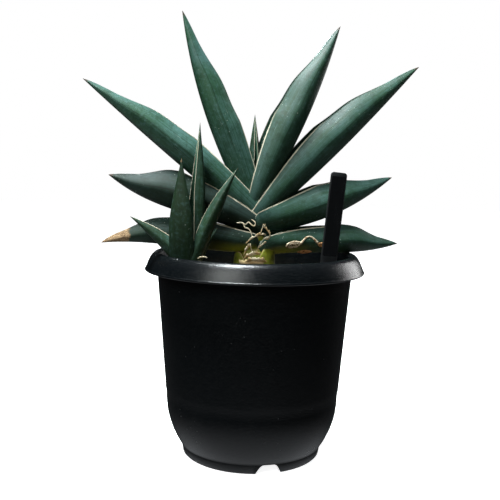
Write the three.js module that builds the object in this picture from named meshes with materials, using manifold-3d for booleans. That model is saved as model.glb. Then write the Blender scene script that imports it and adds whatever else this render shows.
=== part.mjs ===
// Potted snake plant: a two-ranked fan of thick, channelled leaves with one young offset
// beside it, in a black plastic nursery pot with a plant label pushed into the soil.
//
// Millimetres, +Z up. The origin is on the pot's axis, in the plane its foot stands on.
// The fan of leaves lies along X and is turned a little about Z; the offset is in front (-Y).

import * as THREE from 'three';
import { mergeVertices } from 'three/addons/utils/BufferGeometryUtils.js';
import Module from 'manifold-3d';

const wasm = await Module();
wasm.setup();

// ---------------------------------------------------------------- driving dimensions

const PLANT_TOP = 297.5;
const GAP = 0.3; // clearance between neighbouring pieces
const TURN = THREE.MathUtils.degToRad(13); // the leaf fan is turned this much about the pot axis

const POT = {
  segments: 32,
  height: 139,
  wall: 2.2,
  lip: { crestRadius: 67, radius: 75, edge: 127.4, thickness: 1.8, steps: 4, fullness: 2 },
  crest: [[1.6, 0.6], [2.3, 2.4]], // inner edge of the lip: how far in from its crest, and down
  foot: { radius: 47.6, height: 6.5, draft: 1, ledge: 1.6, step: 0.1, thickness: 2.2 },
  floor: { top: 9, underside: 7, corner: 0.6, curve: 3 },
  notch: { count: 3, width: 17.2, crown: 7, height: 6.3, spread: 1, shoulder: 2, azimuth: -75.5 },
  notchCutter: { below: 1, depth: 12, inside: 7, segments: 3 },
  drain: { count: 6, radius: 4.5, ring: 28, centre: 6, sides: 12, cut: 8, drop: 2 },
};

// Outside of the pot's wall above the foot: a round bowl, an arc about a point at the
// centre's height, that runs on into a straight wall with a slight taper.
const BOWL = { round: 58, centre: 40, heights: [7.4, 10, 15, 22, 30, 45] };
const WALL = { radius: 66.6, top: 127, taper: 0.08 };

function wallRadius(z) {
  const lean = Math.hypot(1, WALL.taper);
  if (z > BOWL.centre + BOWL.round * WALL.taper / lean) {
    return WALL.radius - WALL.taper * (WALL.top - z);
  }
  const middle = WALL.radius - WALL.taper * (WALL.top - BOWL.centre) - BOWL.round * lean;
  return middle + Math.sqrt(BOWL.round ** 2 - (z - BOWL.centre) ** 2);
}

const POT_WALL = [...BOWL.heights, WALL.top].map((z) => [wallRadius(z), z]);

const SOIL = { top: 115, crown: 1.5, clearance: 0.1, shoulder: { radius: 0.5, rise: 0.7 } };

const STEM = {
  segments: 20,
  profile: [
    [0, 98], [8, 99], [12.4, 105], [13.2, 116], [13.4, 128], [12, 138], [8, 147], [4, 156], [0, 161],
  ],
};

// The offset's own short stem, as [part of its radius, height], and the runner that feeds it,
// as [distance from the pot's axis, height] up to where it meets that stem.
const OFFSET = { x: -43, y: -29, radius: 6.2, sides: 12 };
const OFFSET_STEM = [[0, 99], [0.7, 100], [1, 104], [1, 116], [0.6, 121], [0, 122]];
const RUNNER = { radius: 4, sides: 8, steps: 6, path: [[14, 108], [22, 104], [34, 103]], end: 106 };

const LABEL = {
  width: 10.6, thickness: 1.2, corner: 2, top: 194.8, bottom: 82, point: 8,
  x: 47.6, y: -32, height: 138, lean: 5.2, yaw: 8,
  tape: { width: 8.6, thickness: 0.3, from: 143, to: 191 },
  segments: 4,
};

const COLOURS = {
  pot: '#17191b', soil: '#4a3b2c', leaf: '#2c4f3c', young: '#33593f', stem: '#7c8428',
  husk: '#b79a62', root: '#b5905a', label: '#121315', tape: '#0b0c0d',
};

// Each leaf runs from a base point to a tip. It leaves the base at one elevation and arrives
// at the tip at another (degrees above level). Across the leaf there are two sizes at the
// base and at its broadest place: the flank, from keel to lips, and the half width between
// the lips. broadest says how far along it is broadest. From there it ends partly as a
// straight cone and partly in a curve whose fullness is taper. The lips stand higher by the
// shoulder: [place, height, spread]. line says how far from the keel to the lips the curve
// from base to tip runs. spine is the [length, thickness] of the hard point. The rows run
// from the innermost leaf outwards, because each leaf's sheath is wrapped round by the next.
const FAN_END = { taper: 0.8, cone: 0.5, shoulder: [0.7, 2, 0.1], line: 0, spine: [6, 2] };
const FAN_LEAVES = [
  {
    name: 'leaf_centre_young', base: [-1, 165], rise: [88, 89], tip: [-2, 3, 233],
    flank: [6, 8.2], half: [4, 4.8], broadest: 0.35, ...FAN_END, shoulder: [0.7, 0, 0.1],
    taper: 1, cone: 0, line: 0.5, spine: [3, 0.5],
  },
  {
    name: 'leaf_upper_left', base: [4.5, 148], rise: [60, 82], tip: [-51, -11, PLANT_TOP],
    flank: [6, 20], half: [8, 10], broadest: 0.5, ...FAN_END,
  },
  {
    name: 'leaf_upper_right', base: [-4.5, 156], rise: [60, 75], tip: [55, 12, 294],
    flank: [8, 23], half: [9.3, 12], broadest: 0.5, ...FAN_END,
  },
  {
    name: 'leaf_middle_left', base: [4.5, 150], rise: [40, 42], tip: [-113, -24, 251],
    flank: [14, 20], half: [10.6, 11], broadest: 0.5, ...FAN_END,
  },
  {
    name: 'leaf_middle_right', base: [-4.5, 152], rise: [40, 48], tip: [113, 27, 270],
    flank: [10, 24], half: [11.9, 12], broadest: 0.5, ...FAN_END,
  },
  {
    name: 'leaf_low_left', base: [4.5, 149], rise: [22, 40], tip: [-97, -21, 190],
    flank: [9, 25], half: [13.2, 13.2], broadest: 0.6, ...FAN_END,
  },
  {
    name: 'leaf_low_right', base: [-4.5, 151], rise: [5, 40], tip: [96, 21, 192],
    flank: [14, 24], half: [14.5, 12.5], broadest: 0.5, ...FAN_END,
  },
  {
    name: 'leaf_lowest_left', base: [2, 139], rise: [-2, -5], tip: [-102, -20, 145],
    flank: [13, 20], half: [15.8, 11], broadest: 0.5, ...FAN_END,
  },
  {
    name: 'leaf_lowest_right', base: [0.5, 136], rise: [10, 18], tip: [102, 22, 145],
    flank: [13, 19], half: [17.1, 11], broadest: 0.6, ...FAN_END,
  },
];

// The offset's leaves, with base and tip as [x, y, z], again from the inside outwards.
const SLENDER = { cone: 0, shoulder: [0.7, 0, 0.1], line: 0.5 };
const OFFSET_LEAVES = [
  {
    name: 'offset_leaf_inner', base: [-42, -23, 119], rise: [80, 55], tip: [-25, -19, 156.5],
    flank: [3, 5], half: [2.4, 3.6], broadest: 0.45, taper: 0.9, spine: [1, 0.5], ...SLENDER,
  },
  {
    name: 'offset_leaf_tall', base: [-40, -30, 118.5], rise: [87, 89], tip: [-37, -26, 225],
    flank: [6, 10.4], half: [4, 5.4], broadest: 0.45, taper: 1.15, spine: [3, 0.7], ...SLENDER,
  },
  {
    name: 'offset_leaf_right', base: [-46, -30, 118], rise: [70, 58], tip: [-11.5, -34, 196.5],
    flank: [6, 9.5], half: [5.2, 5.6], broadest: 0.5, taper: 1.1, spine: [4, 0.8], ...SLENDER,
  },
  {
    name: 'offset_leaf_left', base: [-39, -27.5, 117.5], rise: [76, 32], tip: [-80.8, -33, 163.8],
    flank: [6, 10.2], half: [6.3, 4.5], broadest: 0.4, taper: 1, spine: [1.5, 0.6], ...SLENDER,
  },
  {
    name: 'offset_leaf_front', base: [-45.5, -25, 117], rise: [60, 88], tip: [-47.5, -38, 201.5],
    flank: [5, 6], half: [7.4, 8.4], broadest: 0.35, taper: 1.05, spine: [8, 0.9], ...SLENDER,
  },
];

const LEAF_MESH = { around: 12, along: 14 };
const REACH = 0.36; // length of each end handle of a leaf's midline, as a part of its chord
const SHEATH = { end: 0.12, closed: -0.3, open: 0.8, tip: -0.2, fade: 1.3 }; // channel depth
const BASE_ROUNDING = 0.05; // part of a leaf's length over which its base rounds off
// Beyond the sheath a section is fullest halfway up the flank and nips in towards the lips.
const SECTION = { full: 0.42, nip: 1.1, from: 0.58 };
const LEAF_ROUGHNESS = 0.45;

// Every other root is short. Each dips by a little less than the one before, three by three.
const ROOTS = {
  count: 6, sides: 4, steps: 4, radius: 1.5, top: 97, middle: 74, bottom: 30, uneven: 6,
  spread: 36, short: 0.7, start: 2, drop: 3, knee: 0.6, end: 0.9,
  crown: { top: 4, bottom: 3, height: 5, below: 2.2, sides: 10 },
};

// Dry remains of old sheaths round the stem: [name, azimuth, arc, inner radius, from, to]
const HUSK = { thickness: 0.8, flare: 1.6, segments: 40, wedge: 8 };
const HUSKS = [
  ['dry_husk_front', -130, 60, 13.8, 123, 138],
  ['dry_husk_back', 50, 90, 13.8, 119, 130],
];

// ---------------------------------------------------------------- working in solids

// A closed three.js geometry as a solid, with its faces turned outwards.
function solid(geometry) {
  const shape = geometry.clone();
  shape.deleteAttribute('normal');
  shape.deleteAttribute('uv');
  const merged = mergeVertices(shape, 1e-4);
  const at = merged.attributes.position;
  const corners = Array.from(merged.index.array);
  const point = (i) => new THREE.Vector3().fromBufferAttribute(at, corners[i]);
  let volume = 0;
  for (let i = 0; i < corners.length; i += 3) {
    volume += point(i).dot(point(i + 1).cross(point(i + 2)));
  }
  if (volume < 0) corners.reverse();
  return new wasm.Manifold(new wasm.Mesh({
    numProp: 3,
    vertProperties: new Float32Array(at.array),
    triVerts: new Uint32Array(corners),
  }));
}

function geometryOf(body) {
  const mesh = body.getMesh();
  const geometry = new THREE.BufferGeometry();
  geometry.setAttribute('position', new THREE.BufferAttribute(mesh.vertProperties, 3));
  geometry.setIndex(new THREE.BufferAttribute(mesh.triVerts, 1));
  geometry.computeVertexNormals();
  return geometry;
}

// The solid of a geometry with a clearance round it, grown along its vertex normals.
function grown(geometry, by) {
  const shape = geometry.clone();
  shape.deleteAttribute('normal');
  shape.deleteAttribute('uv');
  const merged = mergeVertices(shape, 1e-4);
  merged.computeVertexNormals();
  const at = merged.attributes.position;
  const normal = merged.attributes.normal;
  for (let i = 0; i < at.count; i += 1) {
    const point = new THREE.Vector3().fromBufferAttribute(at, i);
    point.addScaledVector(new THREE.Vector3().fromBufferAttribute(normal, i), by);
    at.setXYZ(i, point.x, point.y, point.z);
  }
  return solid(merged).add(solid(geometry));
}

// Cutting can leave crumbs: only the biggest piece is kept.
function biggest(body) {
  return body.decompose().sort((a, b) => b.volume() - a.volume())[0];
}

function material(colour, roughness = 0.5) {
  return new THREE.MeshStandardMaterial({ color: colour, roughness, metalness: 0 });
}

const plant = new THREE.Group();

function add(name, body, colour, roughness) {
  const mesh = new THREE.Mesh(geometryOf(body), material(colour, roughness));
  mesh.name = name;
  plant.add(mesh);
}

// A profile of [radius, height] pairs turned about Z.
function turned(profile, segments) {
  const points = profile.map(([r, z]) => new THREE.Vector2(r, z));
  return new THREE.LatheGeometry(points, segments).rotateX(Math.PI / 2);
}

// A round bar with a few sides along a curve.
function bar(curve, radius, sides, steps) {
  const shape = new THREE.Shape();
  for (let i = 0; i < sides; i += 1) {
    const angle = (2 * Math.PI * i) / sides;
    shape[i ? 'lineTo' : 'moveTo'](radius * Math.cos(angle), radius * Math.sin(angle));
  }
  return new THREE.ExtrudeGeometry(shape, { steps, extrudePath: curve, bevelEnabled: false });
}

// ---------------------------------------------------------------- pot

// Outer radius of the pot's wall at a height, between the points of its profile.
function potRadius(z) {
  const above = POT_WALL.findIndex(([, height]) => height >= z);
  if (above === 0) return POT_WALL[0][0];
  const [r1, z1] = POT_WALL.at(above < 0 ? -1 : above);
  const [r0, z0] = POT_WALL.at(above < 0 ? -2 : above - 1);
  return r0 + ((r1 - r0) * (z - z0)) / (z1 - z0);
}

// The turned-over lip from its crest to its edge, this far inside its outer face.
function lipLine(lip, inside) {
  const width = lip.radius - inside - lip.crestRadius;
  const rise = POT.height - inside - lip.edge;
  return Array.from({ length: lip.steps + 1 }, (_, i) => {
    const out = Math.sin((Math.PI / 2) * (i / lip.steps));
    return [lip.crestRadius + width * out, lip.edge + rise * (1 - out ** lip.fullness)];
  });
}

function potSolid() {
  const { lip, crest, foot, floor, wall } = POT;
  const inner = POT_WALL.filter(([, z]) => z > floor.top + floor.curve).map(([r, z]) => [r - wall, z]);
  const profile = [
    [0, floor.underside], [foot.radius - foot.thickness, floor.underside],
    [foot.radius - foot.thickness, 0], [foot.radius, 0],
    [foot.radius + foot.draft, foot.height], [foot.radius + foot.ledge, foot.height + foot.step],
    ...POT_WALL,
    ...lipLine(lip, lip.thickness),
    ...lipLine(lip, 0).reverse(),
    ...crest.map(([inwards, down]) => [lip.crestRadius - inwards, POT.height - down]),
    ...inner.reverse(),
    [POT_WALL[0][0] - wall - floor.corner, floor.top], [0, floor.top],
  ];
  let body = solid(turned(profile, POT.segments));
  for (let i = 0; i < POT.notch.count; i += 1) {
    body = body.subtract(notchCutter(POT.notch.azimuth + (360 * i) / POT.notch.count));
  }
  body = body.subtract(drainCutter(POT.drain.centre, 0, 0));
  for (let i = 0; i < POT.drain.count; i += 1) {
    body = body.subtract(drainCutter(POT.drain.radius, POT.drain.ring, (360 * i) / POT.drain.count));
  }
  return body;
}

// An arch through the foot ring, open at the bottom.
function notchCutter(azimuth) {
  const { width, crown, height, spread, shoulder } = POT.notch;
  const { below, depth, inside, segments } = POT.notchCutter;
  const [foot, top] = [width / 2, crown / 2];
  const arch = new THREE.Shape();
  arch.moveTo(-foot, -below);
  arch.lineTo(foot, -below);
  arch.lineTo(foot, 0);
  arch.bezierCurveTo(foot - spread, height / 3, top + shoulder, height, top, height);
  arch.lineTo(-top, height);
  arch.bezierCurveTo(-top - shoulder, height, -foot + spread, height / 3, -foot, 0);
  const geometry = new THREE.ExtrudeGeometry(arch, { depth, bevelEnabled: false, curveSegments: segments });
  geometry.rotateX(Math.PI / 2);
  geometry.rotateZ(Math.PI / 2);
  geometry.translate(POT.foot.radius - inside, 0, 0);
  geometry.rotateZ(THREE.MathUtils.degToRad(azimuth));
  return solid(geometry);
}

function drainCutter(radius, ring, azimuth) {
  const { cut, sides, drop } = POT.drain;
  const geometry = new THREE.CylinderGeometry(radius, radius, cut, sides).rotateX(Math.PI / 2);
  geometry.translate(ring, 0, POT.floor.top - drop);
  geometry.rotateZ(THREE.MathUtils.degToRad(azimuth));
  return solid(geometry);
}

// ---------------------------------------------------------------- leaves

// How big a leaf is at t along it, between its size at the base and at its broadest.
function sizeAlong(t, [atBase, atBroadest], leaf, point) {
  const { broadest, taper, cone } = leaf;
  const rounding = Math.sqrt(1 - (1 - Math.min(t / BASE_ROUNDING, 1)) ** 2);
  if (t < broadest) {
    const swell = Math.sin((Math.PI / 2) * (t / broadest));
    return rounding * (atBase + (atBroadest - atBase) * swell);
  }
  const past = (t - broadest) / (1 - broadest);
  const curve = Math.max(Math.cos((Math.PI / 2) * past), 0) ** taper;
  return Math.max(atBroadest * (cone * (1 - past) + (1 - cone) * curve), point);
}

// How much higher the lips stand where the leaf's body ends and its point begins.
function shoulderAlong(t, [place, height, spread]) {
  return t < 1 ? height * Math.exp(-(((t - place) / spread) ** 2)) : 0;
}

// Depth of the channel as a part of the flank: a closed base, an open sheath, a round tip.
function channelAlong(t) {
  const { end, closed, open, tip, fade } = SHEATH;
  if (t < end) return closed + (open - closed) * Math.sin((Math.PI / 2) * (t / end));
  return open + (tip - open) * ((t - end) / (1 - end)) ** fade;
}

// How much fuller or narrower a section is than an ellipse, from keel (up = -1) to lips (0).
function fullness(t, up) {
  const above = 1 + Math.min(up, 0);
  return 1 + Math.min(t / SECTION.from, 1) * (SECTION.full - SECTION.nip * above ** 2);
}

// A sphere stretched along the leaf's midline. The lower half of each section is a rounded
// trough from lip to keel to lip; the upper half is pushed down to form the channel.
function leafGeometry(leaf) {
  const base = new THREE.Vector3(...leaf.base);
  const tip = new THREE.Vector3(...leaf.tip);
  const outward = tip.clone().sub(base).setZ(0).normalize();
  const across = new THREE.Vector3(-outward.y, outward.x, 0);
  const length = base.distanceTo(tip);
  const handle = (degrees) => {
    const angle = THREE.MathUtils.degToRad(degrees);
    const direction = outward.clone().multiplyScalar(Math.cos(angle)).setZ(Math.sin(angle));
    return direction.multiplyScalar(REACH * length);
  };
  const midline = new THREE.CubicBezierCurve3(
    base, base.clone().add(handle(leaf.rise[0])), tip.clone().sub(handle(leaf.rise[1])), tip,
  );
  const geometry = new THREE.SphereGeometry(1, LEAF_MESH.around, LEAF_MESH.along);
  const at = geometry.attributes.position;
  for (let i = 0; i < at.count; i += 1) {
    // The sphere's own axis is Y: its height gives the place along, its bearing the section.
    const t = Math.min(Math.max((1 - at.getY(i)) / 2, 0), 1);
    const ring = Math.hypot(at.getX(i), at.getZ(i)) || 1;
    const side = at.getX(i) / ring;
    const up = at.getZ(i) / ring;
    const point = Math.min(1, ((1 - t) * length) / leaf.spine[0]) * leaf.spine[1];
    const flank = sizeAlong(t, leaf.flank, leaf, point) + shoulderAlong(t, leaf.shoulder);
    const half = sizeAlong(t, leaf.half, leaf, point / 2);
    const centre = midline.getPoint(t);
    const along = midline.getTangent(t);
    const inward = along.clone().cross(across).normalize();
    const depth = up < 0 ? up : -channelAlong(t) * up;
    centre.addScaledVector(inward, flank * (1 - leaf.line + depth));
    centre.addScaledVector(inward.clone().cross(along), half * side * fullness(t, up));
    at.setXYZ(i, centre.x, centre.y, centre.z);
  }
  return geometry;
}

// Leaves from the inside outwards: each is cut back where it wraps what is inside it.
function addLeaves(leaves, core, colour) {
  const inside = [core];
  for (const leaf of leaves) {
    const geometry = leafGeometry(leaf);
    const body = inside.reduce((rest, inner) => rest.subtract(inner), solid(geometry));
    add(leaf.name, biggest(body), colour, LEAF_ROUGHNESS);
    inside.push(grown(geometry, GAP));
  }
  return inside;
}

// A fan leaf's base is given as [along the fan, z].
function inFan(leaf) {
  const [x, z] = leaf.base;
  return { ...leaf, base: [x * Math.cos(TURN), x * Math.sin(TURN), z] };
}

// ---------------------------------------------------------------- below the leaves

// The roots, or with a clearance the cavities in the soil that hold them.
function rootGeometries(clearance) {
  const { count, spread, short, start, top, drop, knee, middle, end, bottom, uneven, crown } = ROOTS;
  const roots = [];
  for (let i = 0; i < count; i += 1) {
    const angle = (2 * Math.PI * (i + 0.5)) / count;
    const reach = spread * (i % 2 ? 1 : short);
    const direction = new THREE.Vector3(Math.cos(angle), Math.sin(angle), 0);
    const at = (radius, z) => direction.clone().multiplyScalar(radius).setZ(z);
    const curve = new THREE.CubicBezierCurve3(
      at(start, top), at(reach * knee, top - drop), at(reach, middle),
      at(reach * end, bottom + uneven * (i % 3) - 2 * clearance),
    );
    roots.push(bar(curve, ROOTS.radius + 1.5 * clearance, ROOTS.sides, ROOTS.steps));
  }
  const plug = new THREE.CylinderGeometry(
    crown.top + clearance, crown.bottom + clearance, crown.height + 2 * clearance, crown.sides,
  );
  roots.push(plug.rotateX(Math.PI / 2).translate(0, 0, top - crown.below));
  return roots;
}

function runnerGeometry() {
  const { x, y, radius } = OFFSET;
  const away = new THREE.Vector3(x, y, 0).normalize();
  const reach = Math.hypot(x, y) - radius - 2 * GAP;
  const at = ([r, z]) => away.clone().multiplyScalar(r).setZ(z);
  const curve = new THREE.CubicBezierCurve3(...[...RUNNER.path, [reach, RUNNER.end]].map(at));
  return bar(curve, RUNNER.radius, RUNNER.sides, RUNNER.steps);
}

function offsetStemGeometry() {
  const profile = OFFSET_STEM.map(([part, z]) => [part * OFFSET.radius, z]);
  return turned(profile, OFFSET.sides).translate(OFFSET.x, OFFSET.y, 0);
}

function soilSolid(cavities) {
  const { floor, wall } = POT;
  const { top, crown, clearance, shoulder } = SOIL;
  const inner = (z) => potRadius(z) - wall - GAP - clearance;
  const low = floor.top + floor.curve;
  const heights = POT_WALL.map(([, z]) => z).filter((z) => z > low && z < top - floor.curve);
  const profile = [
    [0, floor.top + GAP], [POT_WALL[0][0] - wall - floor.corner - GAP, floor.top + GAP],
    ...heights.map((z) => [inner(z), z]),
    [inner(top), top], [inner(top) * shoulder.radius, top + crown * shoulder.rise], [0, top + crown],
  ];
  const full = solid(turned(profile, POT.segments));
  return biggest(cavities.reduce((rest, cavity) => rest.subtract(cavity), full));
}

// A strip of old sheath standing round the stem.
function huskSolid(azimuth, arc, inner, from, to) {
  const { thickness, flare, segments, wedge: corners } = HUSK;
  const wide = inner + flare;
  const shape = [[inner, from], [inner + thickness, from], [wide + thickness, to], [wide, to]];
  const points = [...shape, shape[0]].map(([r, z]) => new THREE.Vector2(r, z));
  const ring = solid(new THREE.LatheGeometry(points, segments).rotateX(Math.PI / 2));
  const [start, end] = [azimuth, azimuth + arc].map(THREE.MathUtils.degToRad);
  const reach = 2 * inner;
  const wedge = new THREE.Shape();
  wedge.lineTo(reach * Math.cos(start), reach * Math.sin(start));
  wedge.absarc(0, 0, reach, start, end);
  wedge.closePath();
  const keep = new THREE.ExtrudeGeometry(wedge, { depth: to, bevelEnabled: false, curveSegments: corners });
  return ring.intersect(solid(keep));
}

// ---------------------------------------------------------------- label

function labelPlacement(geometry) {
  geometry.rotateX(Math.PI / 2);
  geometry.translate(0, 0, -LABEL.height);
  geometry.rotateY(THREE.MathUtils.degToRad(LABEL.lean));
  geometry.rotateZ(THREE.MathUtils.degToRad(LABEL.yaw));
  return geometry.translate(LABEL.x, LABEL.y, LABEL.height);
}

function labelGeometry() {
  const { width, thickness, corner, top, bottom, point, segments } = LABEL;
  const half = width / 2;
  const outline = new THREE.Shape();
  outline.moveTo(0, bottom);
  outline.lineTo(half, bottom + point);
  outline.lineTo(half, top - corner);
  outline.absarc(half - corner, top - corner, corner, 0, Math.PI / 2);
  outline.absarc(-half + corner, top - corner, corner, Math.PI / 2, Math.PI);
  outline.lineTo(-half, bottom + point);
  outline.closePath();
  const sheet = { depth: thickness, bevelEnabled: false, curveSegments: segments };
  const plate = new THREE.ExtrudeGeometry(outline, sheet);
  return labelPlacement(plate.translate(0, 0, -thickness / 2));
}

function tapeGeometry() {
  const { width, thickness, from, to } = LABEL.tape;
  const strip = new THREE.BoxGeometry(width, to - from, thickness);
  const clear = LABEL.thickness / 2 + GAP + thickness / 2;
  return labelPlacement(strip.translate(0, (from + to) / 2, clear));
}

// ---------------------------------------------------------------- assembly

const stem = turned(STEM.profile, STEM.segments);
const offsetStem = offsetStemGeometry();
const runner = runnerGeometry();
const label = labelGeometry();

add('pot', potSolid(), COLOURS.pot, 0.55);
const cavities = [
  ...[stem, offsetStem, runner, label].map((piece) => grown(piece, GAP)),
  ...rootGeometries(GAP).map(solid),
];
add('soil', soilSolid(cavities), COLOURS.soil, 0.95);
add('stem', solid(stem), COLOURS.stem, 0.5);
const roots = rootGeometries(0).map(solid).reduce((sum, root) => sum.add(root));
add('roots', roots.subtract(grown(stem, GAP)), COLOURS.root, 0.8);
add('offset_stem', solid(offsetStem), COLOURS.stem, 0.5);
add('offset_runner', solid(runner), COLOURS.root, 0.7);

const fan = addLeaves(FAN_LEAVES.map(inFan), grown(stem, GAP), COLOURS.leaf);
addLeaves(OFFSET_LEAVES, grown(offsetStem, GAP), COLOURS.young);

for (const [name, ...sizes] of HUSKS) {
  const clear = fan.reduce((rest, inner) => rest.subtract(inner), huskSolid(...sizes));
  add(name, biggest(clear), COLOURS.husk, 0.8);
}

add('label', solid(label), COLOURS.label, 0.4);
add('label_tape', solid(tapeGeometry()), COLOURS.tape, 0.25);

export default plant;
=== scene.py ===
"""A potted snake plant: a fan of thick channelled leaves and one young offset in a black nursery pot.

Laid out as an add-on. Sizes in the tables are millimetres in the model's frame: the origin is on
the pot's axis, in the plane its foot stands on, +Z up, and the offset stands towards -Y.
"""

import math
import random

import bmesh
import bpy
from bpy.props import FloatProperty, FloatVectorProperty, IntProperty, PointerProperty
from mathutils import Matrix, Vector, noise


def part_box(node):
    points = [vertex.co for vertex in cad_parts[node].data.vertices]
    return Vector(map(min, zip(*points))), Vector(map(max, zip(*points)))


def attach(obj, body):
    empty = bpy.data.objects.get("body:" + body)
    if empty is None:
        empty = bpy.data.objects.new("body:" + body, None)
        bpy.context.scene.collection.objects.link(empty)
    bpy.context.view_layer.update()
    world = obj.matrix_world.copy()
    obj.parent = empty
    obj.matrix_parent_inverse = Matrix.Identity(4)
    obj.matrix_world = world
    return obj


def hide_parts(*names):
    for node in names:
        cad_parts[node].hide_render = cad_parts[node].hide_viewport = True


bl_info = {
    "name": "Potted Snake Plant",
    "version": (1, 0, 0),
    "blender": (4, 5, 0),
    "location": "3D View > Sidebar > Snake Plant",
    "description": "Grows a snake plant and its offset in a black nursery pot with a blank label",
    "category": "Add Mesh",
}

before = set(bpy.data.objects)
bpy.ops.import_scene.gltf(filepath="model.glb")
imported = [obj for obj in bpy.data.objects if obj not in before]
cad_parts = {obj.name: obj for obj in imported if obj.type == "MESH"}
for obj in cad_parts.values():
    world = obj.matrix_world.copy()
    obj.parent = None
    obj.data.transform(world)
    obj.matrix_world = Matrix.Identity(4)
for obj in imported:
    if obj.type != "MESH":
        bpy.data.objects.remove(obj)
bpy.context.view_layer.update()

MM = 0.001
TAU = 2 * math.pi
SEED = 7


# ------------------------------------------------------------------ sizes and colours to change

def colour(name, description, value):
    return FloatVectorProperty(name=name, description=description, default=value, subtype="COLOR",
                               size=3, min=0.0, max=1.0)


def millimetres(name, description, value):
    return FloatProperty(name=name, description=description, default=value * MM, unit="LENGTH",
                         min=0.0)


class PlantLook(bpy.types.PropertyGroup):
    """Colours and fine sizes of the leaves, stem and dry sheaths"""

    leaf: colour("Leaf", "Deep green of the grown leaves", (0.019, 0.055, 0.028))
    # Wax bloom colour, also used as the painted sheen on the leaves' upper flanks.
    bloom_and_sheen: colour("Bloom", "Blue-grey wax on the outside of the leaves", (0.060, 0.122, 0.118))
    young: colour("Young leaf", "Fresher green of the young leaves", (0.012, 0.032, 0.012))
    # The channel colour is partly the channel's own paler green, partly a painted highlight in the young leaves'
    # channels.
    channel: colour("Channel", "Paler inside of the young leaves", (0.060, 0.150, 0.095))
    pale: colour("Leaf base", "Yellow-green of leaf bases and stem", (0.200, 0.225, 0.010))
    margin: colour("Margin", "Cream papery margin", (0.600, 0.560, 0.430))
    tan: colour("Dry sheath", "Tan of dried sheaths", (0.430, 0.290, 0.130))
    spine: colour("Spine", "Dark brown of the hard leaf points", (0.050, 0.028, 0.016))
    around: IntProperty(name="Sides", description="Faces round a leaf", default=56, min=16)
    along: IntProperty(name="Steps", description="Faces along a leaf", default=96, min=24)
    ridge: FloatProperty(name="Ridge", description="Height of the ridge along each flank, as a part of it",
                         default=0.035, min=0.0, max=0.2)


class PotLook(bpy.types.PropertyGroup):
    """Sizes and colours of the nursery pot"""

    black: colour("Plastic", "Black plastic", (0.0010, 0.0018, 0.0024))
    dust: colour("Dust", "Dust and scuffs on the plastic", (0.090, 0.095, 0.095))
    wall: millimetres("Wall", "Thickness of the wall", 2.2)
    lip: millimetres("Lip", "Thickness of the rolled lip", 1.8)
    steps: IntProperty(name="Steps", description="Faces round the pot", default=160, min=32)


class SoilLook(bpy.types.PropertyGroup):
    """Sizes and colours of the potting mix"""

    dark: colour("Dark", "Bark and peat", (0.030, 0.019, 0.011))
    light: colour("Light", "Pumice and grit", (0.300, 0.250, 0.180))
    grains: IntProperty(name="Grains", description="Loose grains lying on the soil", default=900, min=0)
    largest: millimetres("Largest grain", "Radius of the largest grain", 3.2)


class LabelLook(bpy.types.PropertyGroup):
    """Colours of the plant label"""

    plastic: colour("Label", "Black plastic of the label", (0.0075, 0.0085, 0.0095))
    tape: colour("Tape", "Black tape on the label", (0.0040, 0.0044, 0.0050))


class StageLook(bpy.types.PropertyGroup):
    """Camera, lights and floor"""

    distance: FloatProperty(name="Distance", description="Camera to the pot's axis", default=0.5,
                            unit="LENGTH")
    height: FloatProperty(name="Height", description="Camera above the floor", default=0.1925,
                          unit="LENGTH")
    pitch: FloatProperty(name="Pitch", description="Camera below level", default=math.radians(5.96),
                         subtype="ANGLE")
    turn: FloatProperty(name="Turn", description="Camera to the left", default=math.radians(0.39),
                        subtype="ANGLE")
    roll: FloatProperty(name="Roll", description="Camera tilt", default=math.radians(1.25),
                        subtype="ANGLE")
    lens: FloatProperty(name="Lens", description="Focal length in millimetres", default=52.56)
    floor: colour("Floor", "Pale floor", (0.86, 0.86, 0.86))
    key: FloatProperty(name="Key light", description="Watts", default=36.0)
    rim: FloatProperty(name="Rim light", description="Watts", default=15.0)
    fill: FloatProperty(name="Fill light", description="Watts", default=7.0)
    back: FloatProperty(name="Back light", description="Watts", default=5.0)
    sky: FloatProperty(name="Sky", description="Brightness of the surroundings", default=0.25)


# ------------------------------------------------------------------ shader maths

class Value:
    """A shader socket whose operators add Math nodes, or Vector Math nodes for vectors."""

    def __init__(self, graph, socket):
        self.graph = graph
        self.socket = socket

    def _join(self, operation, *others):
        return self.graph.math(operation, *others)

    def __add__(self, other):
        return self._join("ADD", self, other)

    def __radd__(self, other):
        return self._join("ADD", other, self)

    def __sub__(self, other):
        return self._join("SUBTRACT", self, other)

    def __rsub__(self, other):
        return self._join("SUBTRACT", other, self)

    def __mul__(self, other):
        return self._join("MULTIPLY", self, other)

    def __rmul__(self, other):
        return self._join("MULTIPLY", other, self)

    def __truediv__(self, other):
        return self._join("DIVIDE", self, other)

    def __pow__(self, other):
        return self._join("POWER", self, other)

    def __abs__(self):
        return self._join("ABSOLUTE", self)


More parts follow.
